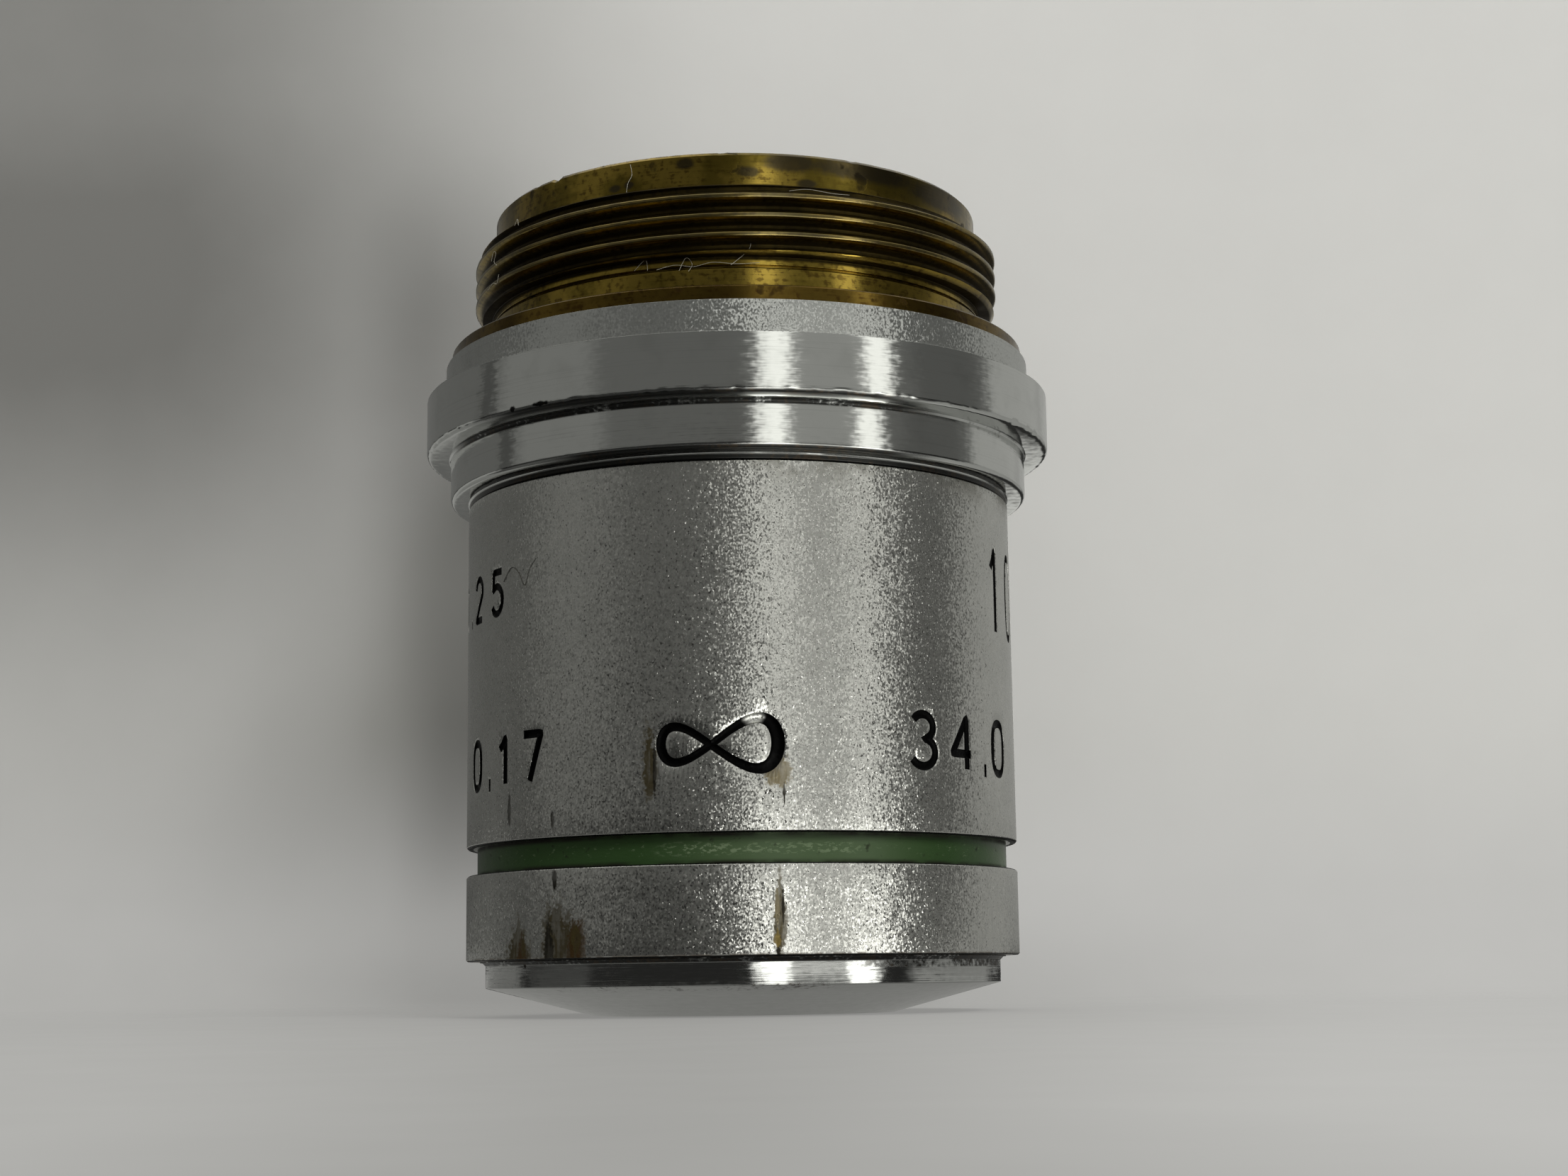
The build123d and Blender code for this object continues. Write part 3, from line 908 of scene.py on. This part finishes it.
def arc(centre, size, start, end, steps=14):
    turns = [radians(start + (end - start) * k / steps) for k in range(steps + 1)]
    return [(centre[0] + size[0] * cos(turn), centre[1] + size[1] * sin(turn)) for turn in turns]


def roundedBox(power=2.7, steps=40):  # the outline of a nought in a unit box
    turns = [2 * pi * k / steps for k in range(steps)]

    def signed(value):
        return (1 if value > 0 else -1) * abs(value) ** (2 / power)

    return [(0.5 + 0.5 * signed(cos(turn)), 0.5 + 0.5 * signed(sin(turn))) for turn in turns]


glyphs = {  # in a box one unit wide and high; a nought is closed
    "0": roundedBox(),
    "1": [(0.2, 0.76), (0.42, 0.86), (0.62, 1.0), (0.62, 0.0)],
    "2": arc((0.5, 0.71), (0.48, 0.29), 172, -28) + [(0.02, 0.0), (1.0, 0.0)],
    "3": arc((0.45, 0.76), (0.45, 0.24), 150, -85) + arc((0.45, 0.27), (0.53, 0.27), 85, -150),
    "4": [(0.78, 0.0), (0.78, 1.0), (0.0, 0.3), (1.0, 0.3)],
    "5": [(0.94, 1.0), (0.12, 1.0), (0.06, 0.56)] + arc((0.45, 0.33), (0.52, 0.33), 128, -152),
    "7": [(0.0, 1.0), (1.0, 1.0), (0.36, 0.0)],
    ".": [(-0.08, 0.02), (0.08, 0.02)],
}

engraving = {
    "numbers": [  # text, azimuth of its left end, foot, digit width and height, pitch and stroke width, in mm
        ("0.25", -84.2, 14.40, 0.79, 1.53, 1.80, 0.27),
        ("10", 61.8, 13.70, 1.0, 3.04, 2.15, 0.30),
        ("0.17", -71.2, 8.23, 0.92, 1.64, 1.75, 0.31),
        ("34.0", 35.1, 8.49, 1.08, 1.82, 1.98, 0.31),
    ],
    "pointPitchShare": 0.42,  # a point's room, and its place in that room, as shares of the pitch
    "pointPlaceShare": 0.06,
    "pointWiden": 1.5,
    "grooveFlatten": 0.72,
    "edgeWiden": 0.045 * mm,
    "edgeFlatten": 0.09,
    "spacing": 0.07 * mm,
    "sides": 16,
    "segments": 400,
    "soft": 0.03 * mm,
    "rowStep": 0.8 * mm,
    "rowDepth": 0.001 * mm,
    "sharpAbove": 28,
}

infinitySign = {
    "azimuth": -5.7,
    "height": 9.12,
    "left": (1.73, 0.61, 0.175),  # length, half height and the stroke's half width at its tip, in mm
    "right": (2.29, 0.86, 0.245),
    "stroke": 0.135,
    "tipsLift": 0.06,
    "steps": 96,
}


def infinityStroke():
    sign = infinitySign
    points = []
    for k in range(sign["steps"]):
        turn = 2 * pi * k / sign["steps"]
        side = cos(turn)
        length, halfHeight, tip = sign["right" if side > 0 else "left"]
        z = sign["height"] + sign["tipsLift"] * abs(side) + sin(2 * turn) * halfHeight
        points.append((side * length, z, sign["stroke"] + (tip - sign["stroke"]) * side ** 2))
    return points


# A stroke is its points and whether it closes, a point is (distance round, height, half width) in mm
def strokeMesh(name, strokes):
    points, edges, halves = [], [], []
    for stroke, closed in strokes:
        first = len(points)
        points += [(x * mm, 0, z * mm) for x, z, half in stroke]
        halves += [half * mm for x, z, half in stroke]
        edges += [(first + k, first + k + 1) for k in range(len(stroke) - 1)]
        if closed:
            edges.append((len(points) - 1, first))
    piece = linked(name, points, edges, [])
    piece.data.attributes.new("halfWidth", "FLOAT", "POINT").data.foreach_set("value", halves)
    return piece


def engravedStrokes(barrel):
    offset = radians(infinitySign["azimuth"]) * barrel
    strokes = [([(x + offset, z, half) for x, z, half in infinityStroke()], True)]
    for text, azimuth, foot, wide, tall, pitch, width in engraving["numbers"]:
        left = radians(azimuth) * barrel
        for sign in text:
            point = sign == "."
            start = left + pitch * engraving["pointPlaceShare"] if point else left
            half = width / 2 * (engraving["pointWiden"] if point else 1)
            line = [(start + x * wide, foot + z * tall, half) for x, z in glyphs[sign]]
            strokes.append((line, sign == "0"))
            left += pitch * engraving["pointPitchShare"] if point else pitch
    return strokes


def barrelSleeve(form):
    section = sectionOf("barrel_sleeve")
    radii, heights = within(section)
    barrel, foot, top = radii[-1], heights[0], heights[-1]
    surface = barrel - engraving["rowDepth"]
    rows = divided(softened(section, engraving["soft"]), engraving["rowStep"], lambda row: row[0] > surface)
    piece = lathe("barrel_sleeve_engraved", rows, engraving["segments"])
    strokes = engravedStrokes(barrel / mm)
    sizes = {
        "Barrel Radius": barrel, "Spacing": engraving["spacing"], "Sides": engraving["sides"], "Lift": 0.0,
    }
    cuts = {
        "grooves": {"Widen": 0.0, "Flatten": engraving["grooveFlatten"]},
        "edges": {"Widen": engraving["edgeWiden"], "Flatten": engraving["edgeFlatten"]},
    }
    for name, values in cuts.items():
        cutter = form.grow(strokeMesh(name, strokes), sizes | values)
        tidyNormals(cutter.data)
        applied(piece, "BOOLEAN", object=cutter, operation="DIFFERENCE", solver="EXACT", use_self=True)
        bpy.data.objects.remove(cutter)
        print(name, "cut,", len(piece.data.polygons), "faces")
    shaded(piece, engraving["sharpAbove"])
    handOver(piece, "barrel_sleeve", satinChrome("chromeSatin", barrel / mm, foot / mm, top / mm))


# Cap and shoulder ring: turned again with softened edges

noseCap = {
    "name": "nose_cap_polished",
    "soft": 0.05 * mm,
    "steps": 5,
    "segments": 400,
    "grimeAndShade": [  # limits in height, radius and azimuth, and the share covered
        ([(1.86, 2.2)], 0.58),
        ([(1.62, 2.2), (0, 20), (26, 80)], 0.46),
        ([(0.9, 1.12), (0, 20), (-70, 20)], 0.3),
    ],
    "drops": [(-53, 1.85, 0.5, 0.12), (66, 1.85, 0.9, 0.16), (75, 1.85, 0.7, 0.15), (57, 1.88, 0.6, 0.1)],
}

shoulderRing = {
    "name": "shoulder_ring_soft",
    "soft": 0.03 * mm,
    "steps": 5,
    "segments": 400,
    "brownFrom": 9.75,  # the flange's radius in mm from which it is browner
}


def turnedAgain(node, form, material):
    piece = lathe(form["name"], softened(sectionOf(node), form["soft"], form["steps"]), form["segments"])
    shaded(piece)
    handOver(piece, node, material)


# Lint caught on the brass and under the thread

lint = {
    "seed": 11,
    "halfWidth": 0.008,
    "widthSpread": (0.8, 1.3),
    "spacing": 0.05 * mm,
    "sides": 6,
    "fibres": [  # azimuth and height along each fibre, and the radius it lies on
        ([(-64, 27.9), (-63, 28.2), (-61.5, 28.1), (-62.5, 27.8), (-61, 27.6)], 10.15),
        ([(-66, 26.9), (-63, 27.0), (-61, 26.9), (-60, 27.2)], 10.15),
        ([(-53, 28.75), (-52.0, 28.95), (-51.6, 28.7)], 10.15),
        ([(-24.6, 29.1), (-24.2, 29.5), (-23.2, 29.8), (-23.6, 30.2)], 9.36),
        ([(-17, 26.1), (-13, 26.22), (-9, 26.12), (-5, 26.25), (0, 26.18), (5, 26.22)], 9.58),
        ([(-22, 26.15), (-19.5, 26.5), (-19.0, 26.1)], 9.6),
        ([(-12.0, 26.0), (-10.5, 26.45), (-9.2, 26.2), (-10.0, 25.95)], 9.62),
        ([(-1, 26.1), (2.5, 26.6), (3.2, 26.9)], 9.72),
        ([(11, 28.75), (15, 28.85), (20, 28.78), (24, 28.8)], 10.02),
        ([(-55, 15.5), (-52, 15.95), (-49.5, 15.7), (-47.5, 15.2), (-46, 15.75), (-44, 16.1)], 10.345),
    ],
}


def lintFibres(form):
    draws = Random(lint["seed"])
    for radius in sorted({entry[1] for entry in lint["fibres"]}):
        strokes = []
        for path, lies in lint["fibres"]:
            if lies != radius:
                continue
            line = [
                (radians(azimuth) * radius, height, lint["halfWidth"] * draws.uniform(*lint["widthSpread"]))
                for azimuth, height in path
            ]
            strokes.append((smoothLine(line), False))
        piece = form.grow(strokeMesh("lint_" + str(round(radius * 100)), strokes), {
            "Barrel Radius": radius * mm, "Widen": 0.0, "Flatten": 1.0, "Lift": lint["halfWidth"] * mm,
            "Spacing": lint["spacing"], "Sides": lint["sides"],
        })
        tidyNormals(piece.data)
        piece.data.shade_smooth()
        dress(piece, bpy.data.materials.get("lint") or lintFinish("lint"))
        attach(piece, "root")


def smoothLine(points, steps=6):  # a smooth line through the points
    ends = [points[0], *points, points[-1]]
    line = []
    for k in range(len(points) - 1):
        p = [Vector(ends[k + shift]) for shift in range(4)]
        for step in range(steps):
            t = step / steps
            line.append(tuple(0.5 * (
                2 * p[1] + (p[2] - p[0]) * t + (2 * p[0] - 5 * p[1] + 4 * p[2] - p[3]) * t ** 2
                + (3 * p[1] - p[0] - 3 * p[2] + p[3]) * t ** 3
            )))
    return line + [points[-1]]


# Camera at the photograph's angle, and the studio

cameraPlace = {
    "location": (0, -92.307 * mm, 1.322 * mm),
    "yaw": 1.0657,
    "pitch": 9.106,
    "roll": -0.802,
    "lens": 55.74,
    "sensor": 36,
    "clip": (1 * mm, 20),
}


def placeCamera():
    yaw, pitch, roll = (radians(cameraPlace[key]) for key in ("yaw", "pitch", "roll"))
    forward = Vector((sin(yaw) * cos(pitch), cos(yaw) * cos(pitch), sin(pitch)))
    level = forward.cross(Vector((0, 0, 1))).normalized()
    upright = level.cross(forward)
    right = level * cos(roll) + upright * sin(roll)
    up = upright * cos(roll) - level * sin(roll)
    camera = bpy.data.objects.new("camera", bpy.data.cameras.new("camera"))
    camera.data.lens = cameraPlace["lens"]
    camera.data.sensor_width = cameraPlace["sensor"]
    camera.data.clip_start, camera.data.clip_end = cameraPlace["clip"]
    axes = Matrix((right, up, -forward)).transposed().to_4x4()
    camera.matrix_world = Matrix.Translation(cameraPlace["location"]) @ axes
    bpy.context.scene.collection.objects.link(camera)
    bpy.context.scene.camera = camera


stage = {
    "paper": (0.635, 0.631, 0.614),
    "shade": (0.185, 0.183, 0.174),
    "wallPlace": 12.2 * mm,
    "wallRadius": 5.0 * mm,
    "wallHeight": 0.5,
    "halfWidth": 0.6,
    "floorReach": 2.0,
    "wallSteps": 12,
    "wallLift": 0.002 * mm,
    "wallFade": 2.5,  # mm behind its foot over which the backdrop comes into sight
}


# How dark the paper is, 0 to 1: painted shade, and painted shadows of the object. A term is a strength and
# its ramps, each a place and where in mm it is 0 and 1. Across is x carried to the backdrop's distance, so
# that floor and backdrop shade alike
paintedPaperShade = {
    "axisDepth": 92.3,  # mm from the camera to the axis, and to the backdrop
    "wallDepth": 104.5,
    "leastDepth": 25,
    # the floor's painted shade, darkest in front of the object
    "ground": [(0.62,), (-0.33, ("across", -8, 31)), (-0.17, ("across", 0, -30))],
    "groundFades": (300, 130),
    "wall": [
        # painted shade over the left, deepest at the top left
        (0.33, ("x", 3, -27)),
        (0.67, ("x", 3, -27), ("height", 10, 31)),
        (-0.15, ("x", 3, -27), ("height", 34, 42)),
        (0.03, ("x", 15, 25)),
        # painted shade towards the foot
        (0.21, ("height", 15, 0), ("x", -15, 13)),
        # more painted shade at the foot on the left
        (0.14, ("x", -30, -18), ("x", 1, -11), ("height", -1, 9), ("height", 15, 5)),
        # a painted shadow of the object beside the collar and the thread
        (0.3, ("x", -17.7, -13.3), ("x", -6.8, -11.2), ("height", 17, 27), ("height", 40, 30)),
        # painted light, which thins the lamps' shadow beside the barrel
        (-0.18, ("x", -21, -15), ("x", -10.5, -16.5), ("height", 4, 14), ("height", 24, 14)),
        # a painted shadow of the object along the barrel
        (0.3, ("x", -15.6, -12.4), ("x", -7.4, -10.6), ("height", 0, 10), ("height", 21, 11)),
    ],
    "wallFades": [("x", -95, -40), ("height", 110, 50)],
    "wallFrom": (0, 6),
    "grain": 0.05,
    "evenShare": 0.65,  # of light that doesn't depend on the lamps, up to a height
    "evenBelow": (13, 2),
}


mirrored = {  # what the metal sees of the floor, a painted reflection that glows for glossy rays: under the nose, round it, and far off
    "zones": [  # distances from the axis at which a zone takes over, in mm, its light and its panels
        ((0, 1), 0.27, []),
        ((13, 18), 0.03, [(14, 2.0, 5.5, 1.7), (32, 14, 9, 0.22), (52, 1.8, 5.5, 2.8), (114, 28, 12, 0.45),
                          (184, 6, 8, 0.2), (-146, 24, 8, 0.16), (-90, 14, 10, 0.06)]),
        ((20, 28), 0.03, [(12.5, 4, 6, 3.8), (33, 14, 9, 1.2), (54, 4, 6, 4.2), (111, 26, 12, 0.32),
                          (184, 6, 8, 0.1), (-146, 24, 8, 0.2), (-90, 14, 10, 0.06)]),
        ((60, 120), 0.03, [(14, 3, 6, 0.9), (32, 13, 9, 0.1), (53, 2.5, 6, 1.4), (126, 24, 10, 0.3),
                           (174, 2.5, 3, 0.6), (188, 3, 4, 0.1), (-138, 26, 8, 0.30)]),
    ],
    "barrel": 9.8,  # its radius in mm
}


def lightPath(paint, *kinds):
    first = paint.node("ShaderNodeLightPath", output=kinds[0])
    return paint.highest(first, *[first.other(kind) for kind in kinds[1:]])


def panel(paint, azimuth, halfWidth, soft):
    turn = radians(azimuth)
    towards = (paint.x * sin(turn) - paint.y * cos(turn)) / paint.highest(paint.radius, studio["leastRadius"])
    away = paint.maths("ARCCOSINE", towards) * (180 / pi)
    return 1 - paint.rise(away, halfWidth, halfWidth + soft)


def surround(paint, bearing, base, panels):  # the light that comes from the floor in the direction bearing
    light = base
    for azimuth, halfWidth, soft, strength in panels:
        away = paint.maths("ABSOLUTE", paint.maths("WRAP", bearing - azimuth, 180, -180))
        light = light + (1 - paint.rise(away, halfWidth, halfWidth + soft)) * strength
    return light


def ramped(paint, places, terms):  # the sum of the terms' strengths times their ramps
    total = 0
    for strength, *ramps in terms:
        for place, low, high in ramps:
            strength = strength * paint.rise(places[place], low, high)
        total = total + strength
    return total


def paperShader(paint):
    tones = paintedPaperShade
    depth = paint.highest(paint.y + tones["axisDepth"], tones["leastDepth"])
    places = {"x": paint.x, "height": paint.height, "across": paint.x * tones["wallDepth"] / depth}
    ground = ramped(paint, places, tones["ground"]) * paint.rise(paint.radius, *tones["groundFades"])
    wall = ramped(paint, places, tones["wall"]) * ramped(paint, places, [(1, *tones["wallFades"])])
    shade = ground + (wall - ground) * paint.rise(paint.height, *tones["wallFrom"])
    shade = shade + paint.grain(0.35, 3) * tones["grain"]
    tone = paint.mix(shade, stage["paper"], stage["shade"])
    lit = paint.node("ShaderNodeBsdfDiffuse", {}, {"Color": tone})
    even = paint.node("ShaderNodeEmission", {}, {"Color": tone, "Strength": 1.0})
    share = paint.rise(paint.height, *tones["evenBelow"]) * tones["evenShare"]
    share = share * lightPath(paint, "Is Camera Ray")
    return paint.node("ShaderNodeMixShader", {}, {0: share, 1: lit, 2: even})


def floorPaper():
    paint = newPaint("paperFloor")
    # Light that leaves the barrel slants outwards, so close to it the bearing runs ahead of the azimuth
    beyond = paint.highest(2 * paint.radius - mirrored["barrel"], mirrored["barrel"])
    bearing = paint.azimuth * 2 * paint.radius / beyond
    strength = 0
    for (begins, full), base, panels in mirrored["zones"]:
        zone = surround(paint, bearing, base, panels)
        strength = strength + (zone - strength) * paint.rise(paint.radius, begins, full)
    glow = paint.node("ShaderNodeEmission", {}, {"Color": (*studio["warmth"], 1), "Strength": strength})
    # the floor's painted reflection shows to glossy and transmission rays only
    seen = lightPath(paint, "Is Glossy Ray", "Is Transmission Ray")
    return paint.close(paint.node("ShaderNodeMixShader", {}, {0: seen, 1: paperShader(paint), 2: glow}))


def wallPaper():
    paint = newPaint("paperWall")
    clear = paint.node("ShaderNodeBsdfTransparent")
    behind = paint.node("ShaderNodeNewGeometry", output="Backfacing")
    start = (stage["wallPlace"] - stage["wallRadius"]) / mm
    gone = paint.highest(behind, 1 - paint.rise(paint.y, start, start + stage["wallFade"]))
    return paint.close(paint.node("ShaderNodeMixShader", {}, {0: gone, 1: paperShader(paint), 2: clear}))


def sheetOf(name, points, faces, material):
    piece = linked(name, points, [], faces)
    piece.data.materials.append(material)
    piece.data.shade_smooth()
    return piece


def buildStage():
    reach = stage["floorReach"]
    corners = [(-reach, -reach, 0), (reach, -reach, 0), (reach, reach, 0), (-reach, reach, 0)]
    sheetOf("floor", corners, [(0, 1, 2, 3)], floorPaper())
    place, radius, steps = stage["wallPlace"], stage["wallRadius"], stage["wallSteps"]
    turns = [pi / 2 * k / steps for k in range(steps + 1)]
    curve = [(place - radius * (1 - sin(turn)), radius * (1 - cos(turn))) for turn in turns]
    curve.append((place, stage["wallHeight"]))
    half, lift = stage["halfWidth"], stage["wallLift"]
    points = [(x, y, z + lift) for y, z in curve for x in (-half, half)]
    faces = [(2 * k, 2 * k + 1, 2 * k + 3, 2 * k + 2) for k in range(len(curve) - 1)]
    wall = sheetOf("backdrop", points, faces, wallPaper())
    for ray in ("glossy", "diffuse", "shadow", "transmission"):
        setattr(wall, "visible_" + ray, False)


studio = {
    "aim": 15 * mm,  # the height that the lamps are turned to
    "ambient": 0.14,
    "darkBelow": (5, 0),  # degrees above the floor under which the ambient light fades
    "darkShare": 0.8,
    "tallSoft": 8,
    "leastRadius": 1e-4,  # keeps the zenith's bearing from a division by nothing
    "beyond": (0.60, 0.598, 0.57),
    "warmth": (1.0, 1.0, 0.95),
    "panels": [  # azimuth, half width, softness, lowest and highest elevation, strength
        (13.0, 2.5, 6.5, -20, 45, 1.15),
        (31.0, 13, 9, -20, 45, 0.20),
        (52.0, 2.0, 6.0, -20, 45, 1.25),
        (124.5, 16, 10, -20, 60, 0.27),
        (164.0, 11, 13, -20, 60, 0.25),
        (-74.0, 15, 12, -20, 60, 0.08),
    ],
    "dark": [(82.0, 10, 9, 0.03), (-102, 2.5, 3, 0.06)],  # azimuth, half width, softness, how much darker
    "overhead": (32, 60, 0.75),  # from and to elevation, strength
}


def lightStudio():
    world = bpy.data.worlds.new("studio")
    bpy.context.scene.world = world
    paint = Paint(world, "Generated", 1.0)
    elevation = paint.maths("ARCSINE", paint.height) * (180 / pi)
    light = studio["ambient"] * (1 - paint.rise(elevation, *studio["darkBelow"]) * studio["darkShare"])
    for azimuth, halfWidth, soft, low, high, strength in studio["panels"]:
        tall = paint.between(elevation, low, high, studio["tallSoft"])
        light = light + panel(paint, azimuth, halfWidth, soft) * tall * strength
    for azimuth, halfWidth, soft, less in studio["dark"]:
        light = light - panel(paint, azimuth, halfWidth, soft) * less
    low, high, strength = studio["overhead"]
    light = light + paint.rise(elevation, low, high) * strength
    lit = paint.node("ShaderNodeBackground", {}, {"Color": (*studio["warmth"], 1), "Strength": light})
    seen = paint.node("ShaderNodeBackground", {}, {"Color": (*studio["beyond"], 1), "Strength": 1.0})
    camera = lightPath(paint, "Is Camera Ray")
    paint.close(paint.node("ShaderNodeMixShader", {}, {0: camera, 1: lit, 2: seen}), "ShaderNodeOutputWorld")


lamps = {  # azimuth, elevation, distance and size in metres, power in watts
    "key": (26, 36, 0.45, 0.16, 1.15),
    "fill": (-35, 30, 0.60, 0.50, 0.30),
    "back": (200, 40, 0.60, 0.40, 0.6),
}


def hangLamps():
    target = Vector((0, 0, studio["aim"]))
    for name, (azimuth, elevation, distance, size, power) in lamps.items():
        light = bpy.data.lights.new(name, "AREA")
        light.size = size
        light.energy = power
        lamp = bpy.data.objects.new(name, light)
        away = fromPolar(cos(radians(elevation)), radians(azimuth), sin(radians(elevation)))
        lamp.location = target + away * distance
        lamp.rotation_euler = away.to_track_quat("Z", "Y").to_euler()
        lamp.visible_glossy = False
        bpy.context.scene.collection.objects.link(lamp)


placeCamera()
buildStage()
lightStudio()
hangLamps()
bpy.context.scene.view_settings.view_transform = "Standard"
print("camera, stage and light done")

strokes = strokeForm()
mainBody()
shoulderCollar()
barrelSleeve(strokes)
turnedAgain("nose_cap", noseCap, chrome("chromeCap", None, noseCap["grimeAndShade"], noseCap["drops"], "smoked"))
turnedAgain("shoulder_ring", shoulderRing, agedBrass("brassShoulder", flange=shoulderRing["brownFrom"]))
bandFoot, bandTop = (corner.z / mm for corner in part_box("colour_band"))
dress(nodes["colour_band"], greenEnamel("enamelGreen", bandFoot, bandTop))
dress(nodes["parfocal_shim"], agedBrass("brassShim"))
lintFibres(strokes)

blackBrass = blackened("blackBrass", "brass")
blackAluminium = blackened("blackAluminium", "aluminium")
crownGlass = opticalGlass("crownGlass", "crown")
flintGlass = opticalGlass("flintGlass", "flint")
for node, slot in slots.items():
    if slot == "blackened_brass":
        dress(nodes[node], blackBrass)
    elif slot == "blackened_aluminium":
        dress(nodes[node], blackAluminium)
    elif slot == "optical_glass":
        dress(nodes[node], crownGlass if "crown" in node else flintGlass)
print("finishes done")
